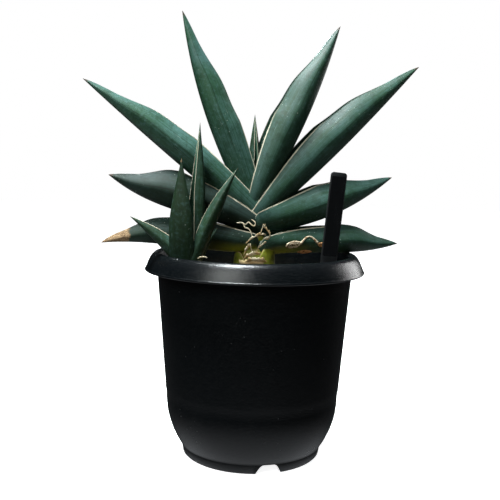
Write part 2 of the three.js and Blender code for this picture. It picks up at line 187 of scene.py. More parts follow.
class Graph:
    """The node tree of one material."""

    def __init__(self, name, **constants):
        self.material = bpy.data.materials.new(name)
        self.material.use_nodes = True
        self.tree = self.material.node_tree
        self.shader = self.tree.nodes["Principled BSDF"]
        for key, value in constants.items():
            self.shader.inputs[key.replace("_", " ")].default_value = value

    def plug(self, target, value):
        if isinstance(value, Value):
            self.tree.links.new(value.socket, target)
        elif isinstance(value, tuple) and len(value) == 3 and target.type == "RGBA":
            target.default_value = (*value, 1.0)
        else:
            target.default_value = value

    def node(self, kind, settings=None, sockets=None, out=0):
        """Adds a node: its settings first, then the values or links of its sockets."""
        node = self.tree.nodes.new(kind)
        for key, value in (settings or {}).items():
            if key == "stops":
                self.stops(node.color_ramp, value)
            else:
                setattr(node, key, value)
        for key, value in (sockets or {}).items():
            self.plug(node.inputs[key], value)
        return Value(self, node.outputs[out])

    @staticmethod
    def stops(ramp, stops):
        while len(ramp.elements) < len(stops):
            ramp.elements.new(1.0)
        for element, (place, shade) in zip(ramp.elements, stops):
            element.position = place
            element.color = (*shade, 1.0) if isinstance(shade, tuple) else (shade, shade, shade, 1.0)

    def math(self, operation, *values, clamp=False):
        sockets = dict(enumerate(values))
        return self.node("ShaderNodeMath", {"operation": operation, "use_clamp": clamp}, sockets)

    def clamp(self, value):
        return self.math("ADD", value, 0.0, clamp=True)

    def between(self, value, low, high):
        """0 below low, 1 above high, and a smooth step from one to the other."""
        settings = {"interpolation_type": "SMOOTHSTEP"}
        return self.node("ShaderNodeMapRange", settings, {0: value, 1: low, 2: high})

    def mix(self, factor, first, second):
        """A colour that goes from first to second."""
        return self.node("ShaderNodeMix", {"data_type": "RGBA"}, {0: factor, 6: first, 7: second}, out=2)

    def tinted(self, shade, amount):
        """A colour made lighter or darker."""
        return self.node("ShaderNodeVectorMath", {"operation": "SCALE"}, {0: shade, 3: amount})

    def vector(self, x, y, z):
        return self.node("ShaderNodeCombineXYZ", None, {0: x, 1: y, 2: z})

    def place(self):
        return self.node("ShaderNodeTexCoord", out=3)

    def split(self, vector):
        node = self.tree.nodes.new("ShaderNodeSeparateXYZ")
        self.plug(node.inputs[0], vector)
        return [Value(self, socket) for socket in node.outputs]

    def attribute(self, name, out=1):
        return self.node("ShaderNodeAttribute", {"attribute_name": name}, out=out)

    def noise(self, vector, scale, detail=3.0, roughness=0.5, distortion=0.0):
        sockets = {"Vector": vector, "Scale": scale, "Detail": detail, "Roughness": roughness,
                   "Distortion": distortion}
        return self.node("ShaderNodeTexNoise", None, sockets)

    def cells(self, vector, scale, feature="F1"):
        return self.node("ShaderNodeTexVoronoi", {"feature": feature}, {"Vector": vector, "Scale": scale})

    def stretched(self, vector, scale):
        return self.node("ShaderNodeVectorMath", {"operation": "MULTIPLY"}, {0: vector, 1: scale})

    def bump(self, height, distance, strength=1.0, under=None):
        sockets = {"Height": height, "Distance": distance, "Strength": strength}
        if under:
            sockets["Normal"] = under
        return self.node("ShaderNodeBump", None, sockets)

    def finish(self, **links):
        """Links what varies to the shader and gives the material."""
        for key, value in links.items():
            self.plug(self.shader.inputs[key.replace("_", " ")], value)
        return self.material


# ------------------------------------------------------------------ materials

def leaf_material(look, name, green, bloom_and_sheen_share, channel):
    """Waxy leaf skin. The section attribute holds (side, up, along): side is 1 at the lips, up is
    -1 at the keel and above 0 in the channel, and along runs from base to tip."""
    g = Graph(name, Specular_IOR_Level=0.24)
    side, up, along = g.split(g.attribute("section"))
    section = g.attribute("section")
    place = g.place()

    broad = g.noise(place, 28.0, 2.0)
    fine = g.noise(place, 420.0, 4.0, 0.65)
    lines = g.noise(g.stretched(section, (9.0, 9.0, 0.7)), 4.0, 2.0, 0.6)
    hair_lines = g.noise(g.stretched(section, (46.0, 46.0, 0.9)), 3.0, 1.0)

    wide = 1.0 - g.between(along, 0.55, 0.92)
    # Blue-grey wax bloom, laid on more towards the lips by the up term: partly real wax, partly a painted sheen
    # on the upper flanks where the light falls.
    bloom_and_sheen = g.between(broad * 0.6 + lines * 0.5 + up * 0.18, 0.35, 0.78) * bloom_and_sheen_share
    skin = g.mix(g.clamp(bloom_and_sheen), green, tuple(look.bloom_and_sheen))
    skin = g.mix(g.between(hair_lines, 0.54, 0.64) * 0.65 * wide, skin, tuple(0.45 * c for c in green))
    skin = g.mix(g.between(fine, 0.47, 0.74) * 0.42, skin, tuple(look.bloom_and_sheen))
    mottle = g.between(g.noise(place, 170.0, 3.0, 0.7), 0.50, 0.62)
    skin = g.mix(mottle * 0.40, skin, tuple(0.5 * c for c in green))
    # Painted shade: a dark line along the ridge of each flank, where the flank turns away from the light.
    crease_shade = g.between(abs(up + 0.52 + (broad - 0.5) * 0.12), 0.030, 0.008) * g.between(along, 0.25, 0.50)
    skin = g.mix(crease_shade * 0.60, skin, tuple(0.30 * c for c in green))
    # Paler inside of the channel: partly the channel's own paler green, partly a painted highlight where the
    # channel catches the light.
    in_channel = g.between(up, -0.02, 0.16)
    skin = g.mix(in_channel * channel, skin, tuple(look.channel))

    # Each leaf's tone scales its colour to how brightly it shows: painted light and shade, lightest on the upper
    # left leaves and darkest on the low left ones.
    tone = g.attribute("tone", out=2)
    skin = g.tinted(skin, tone)
    foot = (1.0 - g.between(along, 0.10, 0.42)) * (1.0 - g.between(up, -0.92, -0.45))
    pale = g.clamp(foot * g.attribute("pale", out=2) * 1.2)
    skin = g.mix(pale, skin, tuple(look.pale))

    specks = g.between(g.cells(place, 300.0), 0.12, 0.06) * g.between(g.noise(place, 36.0), 0.52, 0.60)
    skin = g.mix(specks * 0.5, skin, (0.36, 0.42, 0.36))
    streaks = g.between(g.noise(g.stretched(section, (30.0, 30.0, 5.5)), 2.2, 1.0), 0.735, 0.79)
    skin = g.mix(streaks * 0.55 * wide, skin, (0.30, 0.38, 0.33))

    at_lips = g.between(abs(side), 0.90, 0.95)
    edge = g.between(abs(up) + g.noise(place, 300.0) * 0.02, 0.045, 0.020) * at_lips
    near_base = 1.0 - g.between(along, 0.38, 0.60)
    rim = g.mix(near_base, tuple(look.spine), tuple(look.margin))
    skin = g.mix(edge * (0.25 + near_base * 0.7), skin, rim)

    dry_share = g.attribute("dry", out=2)
    ragged = along + g.noise(place, 200.0, 3.0) * 0.07 - 0.03
    dry = g.between(ragged, 1.0 - dry_share, 1.015 - dry_share)
    fibres = g.between(g.noise(g.stretched(section, (16.0, 16.0, 26.0)), 3.0, 4.0), 0.42, 0.62)
    husk = g.mix(fibres, (0.075, 0.040, 0.022), (0.42, 0.29, 0.16))
    skin = g.mix(dry, skin, husk)
    point = g.between(along, 0.972, 0.988) * (1.0 - dry)
    skin = g.mix(point * 0.85, skin, tuple(look.spine))

    rough = 0.38 + fine * 0.14 + dry * 0.3 + edge * 0.2 + (1.0 - tone) * 0.26
    relief = (hair_lines * 0.35 + lines * 0.5 + fine * 0.14) * wide
    normal = g.bump(relief, 0.00030, 0.45)
    return g.finish(Base_Color=skin, Roughness=rough, Normal=normal)


def plastic_material(look):
    """Black moulded plastic with a fine stipple and dust in patches and specks."""
    g = Graph("pot_plastic", Specular_IOR_Level=0.30)
    place = g.place()
    z = g.split(place)[2]
    stipple = g.noise(place, 1300.0, 1.0, 0.5)
    patches = g.noise(place, 17.0, 4.0, 0.62)
    motes = g.between(g.cells(place, 240.0), 0.13, 0.05) * g.between(g.noise(place, 45.0), 0.55, 0.66)
    low = 1.0 - g.between(z, 0.004, 0.050)
    film = g.between(patches, 0.45, 0.80) * (0.02 + low * 0.10)
    dusty = g.clamp(film + motes * 0.45 + g.between(stipple, 0.50, 0.66) * 0.05)
    skin = g.mix(dusty, tuple(look.black), tuple(look.dust))
    rough = 0.20 + patches * 0.06 + dusty * 0.30
    normal = g.bump(stipple, 0.0004, 0.40)
    return g.finish(Base_Color=skin, Roughness=rough, Normal=normal)


def soil_material(look, name):
    """Bark, peat and grit. The tone attribute gives each loose grain its own shade."""
    g = Graph(name, Specular_IOR_Level=0.25)
    place = g.place()
    crumbs = g.cells(place, 330.0)
    blotch = g.noise(place, 90.0, 5.0, 0.65)
    tone = g.attribute("tone", out=2)
    shade = g.clamp(tone + g.between(blotch, 0.45, 0.75) * 0.30)
    skin = g.mix(shade, tuple(look.dark), tuple(look.light))
    # Painted shade: fine dark flecks that stand for the shade in the crevices between crumbs.
    crevice_shade = g.between(g.noise(place, 800.0, 3.0), 0.5, 0.8)
    skin = g.mix(crevice_shade * 0.35, skin, tuple(0.5 * c for c in look.dark))
    rough = 0.80 + blotch * 0.18
    normal = g.bump(crumbs + blotch * 0.8, 0.0008, 0.8)
    return g.finish(Base_Color=skin, Roughness=rough, Normal=normal)


def stem_material(look):
    """Yellow-green stem with paler rings where leaves were."""
    g = Graph("stem_green", Specular_IOR_Level=0.45)
    place = g.place()
    x, y, z = g.split(place)
    rings = g.noise(g.vector(x * 0.2, y * 0.2, z), 380.0, 2.0)
    mottle = g.noise(place, 160.0, 4.0)
    skin = g.mix(g.between(mottle, 0.35, 0.70), tuple(look.pale), tuple(0.45 * c for c in look.pale))
    skin = g.mix(g.between(rings, 0.58, 0.68) * 0.45, skin, tuple(look.tan))
    rough = 0.42 + mottle * 0.25
    return g.finish(Base_Color=skin, Roughness=rough, Normal=g.bump(rings + mottle, 0.0004, 0.5))


def paper_material(look, name, first, second):
    """Dry sheath: fibres along the piece, browner and cream patches."""
    g = Graph(name, Specular_IOR_Level=0.30)
    place = g.place()
    x, y, z = g.split(place)
    fibres = g.noise(g.vector(x * 2.4, y * 2.4, z * 0.35), 520.0, 3.0, 0.6)
    patch = g.noise(place, 150.0, 3.0)
    skin = g.mix(g.between(patch, 0.38, 0.66), first, second)
    skin = g.mix(g.between(fibres, 0.55, 0.75) * 0.5, skin, tuple(0.35 * c for c in look.tan))
    rough = 0.70 + fibres * 0.25
    return g.finish(Base_Color=skin, Roughness=rough, Normal=g.bump(fibres, 0.0003, 0.7))


def cork_material(name, ground, ridges):
    """Healed scar: pale ridges over a brown, pitted ground."""
    g = Graph(name, Specular_IOR_Level=0.25)
    place = g.place()
    pits = g.cells(place, 1100.0)
    patch = g.noise(place, 700.0, 3.0)
    skin = g.mix(g.between(patch, 0.36, 0.52), ground, ridges)
    # Painted shade: the pits sunk by the bump are darkened with a darker copy of the ground colour.
    skin = g.mix(g.between(pits, 0.34, 0.12) * 0.6, skin, tuple(0.4 * c for c in ground))
    return g.finish(Base_Color=skin, Roughness=0.75 + patch * 0.2, Normal=g.bump(pits + patch, 0.0004, 0.8))


def root_material(look):
    g = Graph("root_tan", Specular_IOR_Level=0.3)
    place = g.place()
    rings = g.noise(place, 300.0, 4.0)
    skin = g.mix(g.between(rings, 0.4, 0.7), tuple(look.tan), (0.30, 0.155, 0.060))
    return g.finish(Base_Color=skin, Roughness=0.62 + rings * 0.2, Normal=g.bump(rings, 0.0005, 0.6))


def smooth_material(name, shade, roughness, grain, level):
    """Smooth plastic with faint handling marks."""
    g = Graph(name, Specular_IOR_Level=level)
    place = g.place()
    marks = g.noise(g.stretched(place, (1.0, 1.0, 0.25)), 120.0, 4.0, 0.6)
    fine = g.noise(place, grain, 2.0)
    skin = g.mix(g.between(marks, 0.55, 0.80) * 0.35, shade, tuple(2.4 * c for c in shade))
    rough = roughness + marks * 0.14 + fine * 0.05
    return g.finish(Base_Color=skin, Roughness=rough, Normal=g.bump(fine, 0.0001, 0.25))


def floor_material(look):
    g = Graph("floor_pale")
    place = g.place()
    cloud = g.noise(place, 3.0, 3.0)
    pale = tuple(look.floor)
    skin = g.mix(cloud * 0.25, pale, tuple(0.96 * c for c in pale))
    g.shader.inputs["Emission Strength"].default_value = 1.05
    return g.finish(Base_Color=skin, Emission_Color=skin, Roughness=0.62 + cloud * 0.1)


# ------------------------------------------------------------------ helpers for pieces

def piece(name, bm, material, nodes=(), sharp=40.0):
    """Makes an object of a bmesh, smooth but for edges over an angle, and rides it on the root."""
    limit = math.radians(sharp)
    for face in bm.faces:
        face.smooth = True
    for edge in bm.edges:
        edge.smooth = not (edge.is_manifold and edge.calc_face_angle(0.0) > limit)
    mesh = bpy.data.meshes.new(name)
    bm.to_mesh(mesh)
    bm.free()
    mesh.materials.append(material)
    obj = bpy.data.objects.new(name, mesh)
    bpy.context.scene.collection.objects.link(obj)
    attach(obj, "root")
    for node in nodes:
        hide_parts(node)
    return obj


def outward(bm):
    bmesh.ops.remove_doubles(bm, verts=bm.verts, dist=1e-7)
    bmesh.ops.recalc_face_normals(bm, faces=bm.faces)


def pairs(ring):
    return zip(ring, ring[1:] + ring[:1])


def next_ring(bm, ring, closed=True):
    """The row of vertices extruded from another, in the same order."""
    row = list(pairs(ring)) if closed else list(zip(ring, ring[1:]))
    edges = [bm.edges.get(pair) for pair in row]
    made = bmesh.ops.extrude_edge_only(bm, edges=edges)["geom"]
    new = {item for item in made if isinstance(item, bmesh.types.BMVert)}
    return [next(e.other_vert(v) for e in v.link_edges if e.other_vert(v) in new) for v in ring]


def spun(profile, steps):
    """A bmesh of a profile of (radius, height) pairs, in metres, turned about Z."""
    bm = bmesh.new()
    row = [bm.verts.new((radius, 0, height)) for radius, height in profile]
    edges = [bm.edges.new(pair) for pair in zip(row, row[1:])]
    bmesh.ops.spin(bm, geom=row + edges, cent=(0, 0, 0), axis=(0, 0, 1), angle=TAU, steps=steps,
                   use_merge=True, use_duplicate=False)
    outward(bm)
    return bm


def apply_modifiers(obj):
    bpy.context.view_layer.objects.active = obj
    for modifier in list(obj.modifiers):
        bpy.ops.object.modifier_apply(modifier=modifier.name)


def carve(obj, cutters):
    """Cuts closed bmeshes out of an object."""
    for number, bm in enumerate(cutters):
        mesh = bpy.data.meshes.new(f"cutter_{number}")
        bmesh.ops.recalc_face_normals(bm, faces=bm.faces)
        bm.to_mesh(mesh)
        bm.free()
        cutter = bpy.data.objects.new(mesh.name, mesh)
        bpy.context.scene.collection.objects.link(cutter)
        modifier = obj.modifiers.new("cut", "BOOLEAN")
        modifier.object = cutter
        modifier.solver = "EXACT"
        apply_modifiers(obj)
        bpy.data.objects.remove(cutter)


# ------------------------------------------------------------------ leaves

FAN_TURN = math.radians(13)
REACH = 0.36
BASE_ROUNDING = 0.05
SHEATH_END, SHEATH_CLOSED, SHEATH_OPEN, TIP_CLOSED, CHANNEL_FADE = 0.12, -0.3, 0.8, -0.2, 1.3
RIDGES = (0.42, 0.86)
SECTION_FULL, SECTION_NIP, SECTION_FROM = 0.42, 1.1, 0.58


class Leaf:
    """A leaf's shape. A line leaves its base at one rise and meets its tip at another. Round it,
    the flank (from keel to lips) and the half width swell from the base to the broadest place,
    then end partly as a cone and partly in a curve. The lips stand higher at the shoulder."""

    def __init__(self, node, base, rise, tip, flank, half, broadest, taper, spine, cone=0.0,
                 shoulder=(0.7, 0.0, 0.1), line=0.0, pale=0.0, dry=0.0, tone=1.0):
        self.node = node
        self.base, self.tip = Vector(base), Vector(tip)
        self.flank, self.half = flank, half
        self.broadest, self.taper, self.cone = broadest, taper, cone
        self.spine, self.shoulder, self.line = spine, shoulder, line
        self.pale, self.dry, self.tone = pale, dry, tone
        level = (self.tip - self.base).to_2d().normalized()
        self.away = Vector((level.x, level.y, 0))
        self.across = Vector((-level.y, level.x, 0))
        self.length = (self.tip - self.base).length
        leaving, arriving = (self.handle(degrees) for degrees in rise)
        self.middle = [self.base, self.base + leaving, self.tip - arriving, self.tip]

    def handle(self, degrees):
        angle = math.radians(degrees)
        return (self.away * math.cos(angle) + Vector((0, 0, math.sin(angle)))) * REACH * self.length

    def centre(self, t):
        a, b, c, d = self.middle
        s = 1 - t
        return a * s ** 3 + b * 3 * s * s * t + c * 3 * s * t * t + d * t ** 3

    def along(self, t):
        a, b, c, d = self.middle
        s = 1 - t
        return ((b - a) * s * s + (c - b) * 2 * s * t + (d - c) * t * t).normalized()

    def size(self, t, sizes, point):
        at_base, at_broadest = sizes
        if t < self.broadest:
            rounding = math.sqrt(max(0.0, 1 - (1 - min(t / BASE_ROUNDING, 1)) ** 2))
            swell = math.sin(math.pi / 2 * t / self.broadest)
            return rounding * (at_base + (at_broadest - at_base) * swell)
        past = (t - self.broadest) / (1 - self.broadest)
        curve = max(0.0, math.cos(math.pi / 2 * past)) ** self.taper
        return max(at_broadest * (self.cone * (1 - past) + (1 - self.cone) * curve), point)

    def sizes(self, t):
        """Flank and half width."""
        place, height, spread = self.shoulder
        point = min(1.0, (1 - t) * self.length / self.spine[0]) * self.spine[1]
        raised = height * math.exp(-((t - place) / spread) ** 2) if t < 1 else 0.0
        return self.size(t, self.flank, point) + raised, self.size(t, self.half, point / 2)

    def channel(self, t):
        if t < SHEATH_END:
            return SHEATH_CLOSED + (SHEATH_OPEN - SHEATH_CLOSED) * math.sin(math.pi / 2 * t / SHEATH_END)
        fade = ((t - SHEATH_END) / (1 - SHEATH_END)) ** CHANNEL_FADE
        return SHEATH_OPEN + (TIP_CLOSED - SHEATH_OPEN) * fade

    def fullness(self, t, up):
        """How much fuller or narrower a section is than an ellipse, from keel to lips."""
        above = 1 + min(up, 0.0)
        return 1 + min(t / SECTION_FROM, 1.0) * (SECTION_FULL - SECTION_NIP * above ** 2)

    def axes(self, t):
        along = self.along(t)
        inward = along.cross(self.across).normalized()
        return inward, inward.cross(along)

    def point(self, t, angle, ridge=0.0, proud=0.0):
        """The place on the skin, in metres. angle is 0 and pi at the lips, three quarters of a
        turn at the keel and a quarter in the channel. proud lifts it off the skin."""
        inward, across = self.axes(t)
        flank, half = self.sizes(t)
        side, up = math.cos(angle), math.sin(angle)
        depth = up if up < 0 else -self.channel(t) * up
        crest = 0.0
        if up < 0:
            crest = ridge * sum(math.exp(-((abs(side) - place) / 0.07) ** 2) for place in RIDGES)
        lift = Vector()
        if proud:
            lift = (across * side * flank + inward * min(up, 0.0) * half).normalized() * proud
        wide = half * side * self.fullness(t, up)
        out = inward * flank * (1 - self.line + depth * (1 + crest)) + across * wide * (1 + crest)
        return (self.centre(t) + out + lift) * MM


def in_fan(along, z):
    """A place in the plane of the fan."""
    return (along * math.cos(FAN_TURN), along * math.sin(FAN_TURN), z)


# From the innermost leaf outwards, as the sheaths wrap one another.
FAN_END = {"cone": 0.5, "shoulder": (0.7, 2, 0.1)}
PLANT_TOP = 297.5
# The tone of each leaf is painted light and shade: above 1 lightens a leaf as if more lit, below 1 darkens it as
# if shaded.
FAN_LEAVES = (
    Leaf("leaf_centre_young", in_fan(-1, 165), (88, 89), (-2, 3, 233), (6, 8.2), (4, 4.8), 0.35, 1, (3, 0.5),
         line=0.5),
    Leaf("leaf_upper_left", in_fan(4.5, 148), (60, 82), (-51, -11, PLANT_TOP), (6, 20), (8, 10), 0.5, 0.8,
         (6, 2), **FAN_END, tone=1.25),
    Leaf("leaf_upper_right", in_fan(-4.5, 156), (60, 75), (55, 12, 294), (8, 23), (9.3, 12), 0.5, 0.8,
         (6, 2), **FAN_END, tone=0.85),
    Leaf("leaf_middle_left", in_fan(4.5, 150), (40, 42), (-113, -24, 251), (14, 20), (10.6, 11), 0.5, 0.8,
         (6, 2), **FAN_END, tone=1.2),
    Leaf("leaf_middle_right", in_fan(-4.5, 152), (40, 48), (113, 27, 270), (10, 24), (11.9, 12), 0.5, 0.8,
         (6, 2), **FAN_END, tone=0.9),
    Leaf("leaf_low_left", in_fan(4.5, 149), (22, 40), (-97, -21, 190), (9, 25), (13.2, 13.2), 0.6, 0.8,
         (6, 2), **FAN_END, tone=0.35),
    Leaf("leaf_low_right", in_fan(-4.5, 151), (5, 40), (96, 21, 192), (14, 24), (14.5, 12.5), 0.5, 0.8,
         (6, 2), **FAN_END, tone=0.95),
    Leaf("leaf_lowest_left", in_fan(2, 139), (-2, -5), (-102, -20, 145), (13, 20), (15.8, 11), 0.5, 0.8,
         (6, 2), **FAN_END, pale=1.0, dry=0.17, tone=0.45),
    Leaf("leaf_lowest_right", in_fan(0.5, 136), (10, 18), (102, 22, 145), (13, 19), (17.1, 11), 0.6, 0.8,
         (6, 2), **FAN_END, pale=1.0, tone=0.8),
)
OFFSET_LEAVES = (
    Leaf("offset_leaf_inner", (-42, -23, 119), (80, 55), (-25, -19, 156.5), (3, 5), (2.4, 3.6), 0.45, 0.9,
         (1, 0.5), line=0.5),
    Leaf("offset_leaf_tall", (-40, -30, 118.5), (87, 89), (-37, -26, 225), (6, 10.4), (4, 5.4), 0.45, 1.15,
         (3, 0.7), line=0.5),
    Leaf("offset_leaf_right", (-46, -30, 118), (70, 58), (-11.5, -34, 196.5), (6, 9.5), (5.2, 5.6), 0.5, 1.1,
         (4, 0.8), line=0.5),
    Leaf("offset_leaf_left", (-39, -27.5, 117.5), (76, 32), (-80.8, -33, 163.8), (6, 10.2), (6.3, 4.5), 0.4,
         1, (1.5, 0.6), line=0.5),
    Leaf("offset_leaf_front", (-45.5, -25, 117), (60, 88), (-47.5, -38, 201.5), (5, 6), (7.4, 8.4), 0.35,
         1.05, (8, 0.9), line=0.5, dry=0.035, tone=0.75),
)
LEAF = {leaf.node: leaf for leaf in FAN_LEAVES + OFFSET_LEAVES}


def grow_leaf(leaf, look, material):
    """A ring extruded from the leaf's base to its tip and closed to a point at both ends."""
    bm = bmesh.new()
    section = bm.verts.layers.float_vector.new("section")
    pale = bm.verts.layers.float.new("pale")
    dry = bm.verts.layers.float.new("dry")
    tone = bm.verts.layers.float.new("tone")
    angles = [TAU * i / look.around for i in range(look.around)]

    def set_ring(ring, t):
        for vert, angle in zip(ring, angles):
            vert.co = leaf.point(t, angle, look.ridge)
            vert[section] = (math.cos(angle), math.sin(angle), t)
            vert[pale], vert[dry], vert[tone] = leaf.pale, leaf.dry, leaf.tone

    places = [(1 - math.cos(math.pi * i / look.along)) / 2 for i in range(look.along + 1)]
    ring = bmesh.ops.create_circle(bm, cap_ends=False, segments=look.around, radius=MM)["verts"]
    first = ring
    set_ring(ring, places[1])
    for t in places[2:-1]:
        ring = next_ring(bm, ring)
        set_ring(ring, t)
    for row, t, end in ((first, 0.0, leaf.base), (ring, 1.0, leaf.tip)):
        cap = next_ring(bm, row)
        set_ring(cap, t)
        bmesh.ops.pointmerge(bm, verts=cap, merge_co=end * MM)
    bmesh.ops.recalc_face_normals(bm, faces=bm.faces)
    return piece(f"{leaf.node}_skin", bm, material, [leaf.node], sharp=75.0)


# ------------------------------------------------------------------ ribbons: margins, torn fibres

def ribbon(bm, route, width, ragged, rng):
    """A strip along a route of (place, outward) pairs, in metres. Its far edge is ragged."""
    row = [bm.verts.new(route[0][0]), bm.verts.new(route[0][0])]
    bm.edges.new(row)
    for number, (place, outward_from) in enumerate(route):
        if number:
            row = next_ring(bm, row, closed=False)
        share = number / (len(route) - 1)
        taper = min(1.0, 5 * share + 0.15, 5 * (1 - share) + 0.15)
        reach = width * taper * (1 + ragged * rng.uniform(-1, 1))
        row[0].co = place - outward_from * 0.15 * width
        row[1].co = place + outward_from * reach


def thicken(obj, thickness):
    modifier = obj.modifiers.new("thickness", "SOLIDIFY")
    modifier.thickness = thickness
    modifier.offset = 0.0
    apply_modifiers(obj)


# ------------------------------------------------------------------ operators

class PLANT_OT_leaves(bpy.types.Operator):
    """Grow the fan of leaves and the offset's leaves"""

    bl_idname = "snake_plant.leaves"
    bl_label = "Leaves"

    def execute(self, context):
        look = context.scene.snake_plant
        grown = leaf_material(look, "leaf_green", tuple(look.leaf), 0.85, 0.10)
        young = leaf_material(look, "young_leaf", tuple(look.young), 0.30, 0.55)
        for leaf in FAN_LEAVES:
            fresh = leaf.node == "leaf_centre_young"
            grow_leaf(leaf, look, young if fresh else grown)
        for leaf in OFFSET_LEAVES:
            grow_leaf(leaf, look, young)
        return {"FINISHED"}


# Each leaf's papery margin: how far it runs, its height at the base and further on in
# millimetres, and how far along it gets thin.
MARGINS = (
    ("leaf_upper_left", 0.30, 0.4, 0.10, 0.2), ("leaf_upper_right", 0.42, 0.3, 0.12, 0.25),
    ("leaf_middle_left", 0.72, 0.7, 0.10, 0.2), ("leaf_middle_right", 0.48, 0.8, 0.14, 0.25),
    ("leaf_low_left", 0.60, 1.2, 0.12, 0.32), ("leaf_low_right", 0.66, 0.9, 0.12, 0.2),
    ("leaf_lowest_left", 0.5, 0.5, 0.12, 0.2), ("leaf_lowest_right", 0.5, 0.5, 0.25, 0.2),
    ("leaf_centre_young", 0.95, 0.15, 0.1, 0.3), ("offset_leaf_tall", 0.95, 0.16, 0.12, 0.5),
    ("offset_leaf_right", 0.97, 0.2, 0.15, 0.5), ("offset_leaf_left", 0.97, 0.3, 0.22, 0.5),
    ("offset_leaf_front", 0.95, 0.2, 0.14, 0.5), ("offset_leaf_inner", 0.9, 0.16, 0.12, 0.5),
)


class PLANT_OT_margins(bpy.types.Operator):
    """Add the thin papery margins along the lips of the leaves"""

    bl_idname = "snake_plant.margins"
    bl_label = "Margins"

    steps = 90

    def execute(self, context):
        look = context.scene.snake_plant
        paper = paper_material(look, "margin_paper", tuple(look.margin), (0.50, 0.43, 0.31))
        rng = random.Random(SEED)
        for node, reach, thick, thin, fades in MARGINS:
            leaf = LEAF[node]
            bm = bmesh.new()
            for lip in (0.0, math.pi):
                route = []
                for i in range(self.steps + 1):
                    t = 0.03 + (reach - 0.03) * i / self.steps
                    inward, across = leaf.axes(t)
                    out = (inward + across * (0.35 if lip == 0.0 else -0.35)).normalized()
                    share = min(1.0, t / fades)
                    route.append((leaf.point(t, lip), out * (thick + (thin - thick) * share ** 0.6)))
                ribbon(bm, route, MM, 0.35, rng)
            strip = piece(f"{node}_margin", bm, paper)
            thicken(strip, 0.2 * MM)
        return {"FINISHED"}


# Torn fibres at the crown: (width, ragged, places), from margins that have split and curled.
TORN_FIBRES = (
    (0.8, 0.3, ((-2.6, -17.0, 162.5), (-0.2, -17.6, 160.2), (-0.8, -18.0, 158.0), (-2.6, -18.2, 158.6),
               (-4.6, -18.0, 160.4), (-6.6, -17.8, 158.8), (-8.0, -17.6, 160.0))),
    (0.9, 0.3, ((-12.5, -17.6, 160.0), (-8.6, -17.8, 159.6), (-7.0, -18.2, 156.8), (-4.2, -18.4, 155.8),
               (-2.6, -18.6, 152.8), (-1.6, -18.8, 149.8))),
    (1.6, 0.6, ((-6.0, -18.4, 146.4), (-3.0, -19.0, 149.2), (0.5, -19.4, 151.4), (4.0, -19.4, 152.4),
               (7.0, -19.2, 152.6))),
    (1.9, 0.7, ((3.4, -19.6, 153.4), (5.2, -20.0, 157.6), (7.8, -20.2, 155.4), (9.8, -19.8, 152.4),
               (8.6, -19.4, 149.8), (5.6, -19.2, 150.2))),
    (1.3, 0.5, ((1.8, -18.6, 143.4), (4.6, -19.4, 145.6), (7.4, -19.6, 147.8))),
    (2.1, 0.6, ((-7.6, -16.8, 138.6), (-5.2, -17.6, 142.4), (-3.4, -18.0, 144.4), (-2.0, -17.6, 141.6))),
    (2.4, 0.6, ((-7.0, -17.2, 136.2), (-3.0, -18.2, 138.4), (0.8, -18.6, 139.6), (4.0, -18.2, 139.2))),
    (2.6, 0.5, ((-6.0, -17.0, 134.0), (-1.0, -18.0, 134.8), (4.0, -18.0, 134.6), (8.0, -17.0, 134.4))),
    (0.8, 0.4, ((-35.5, -50.4, 139.6), (-32.0, -51.6, 140.4), (-29.4, -52.6, 140.2))),
)


def smooth_route(points, steps):
    """Places along a rounded line through some points, with which way its strip stands."""
    corners = [Vector(p) * MM for p in points]
    corners = [2 * corners[0] - corners[1], *corners, 2 * corners[-1] - corners[-2]]
    route = []
    for i in range(1, len(corners) - 2):
        before, start, end, after = corners[i - 1:i + 3]
        for k in range(steps):
            t = k / steps
            place = 0.5 * (2 * start + (end - before) * t + (2 * before - 5 * start + 4 * end - after) * t * t
                           + (3 * start - before - 3 * end + after) * t ** 3)
            route.append(place)
    route.append(corners[-2])
    return route


class PLANT_OT_fibres(bpy.types.Operator):
    """Add the torn, curled fibres at the crown"""

    bl_idname = "snake_plant.fibres"
    bl_label = "Torn fibres"

    def execute(self, context):
        look = context.scene.snake_plant
        paper = paper_material(look, "torn_fibre", (0.66, 0.58, 0.42), tuple(look.tan))
        rng = random.Random(SEED + 1)
        for number, (width, ragged, points) in enumerate(TORN_FIBRES, 1):
            places = smooth_route(points, 7)
            route = []
            for i, place in enumerate(places):
                swing = noise.noise(place * 260.0) * 1.4 - math.pi / 2
                standing = Vector((0.25 * math.cos(swing), 0.6 * math.sin(swing), 0.9)).normalized()
                route.append((place, standing))
            bm = bmesh.new()
            ribbon(bm, route, width * MM, ragged, rng)
            strip = piece(f"torn_fibre_{number}", bm, paper)
            thicken(strip, 0.3 * MM)
        return {"FINISHED"}


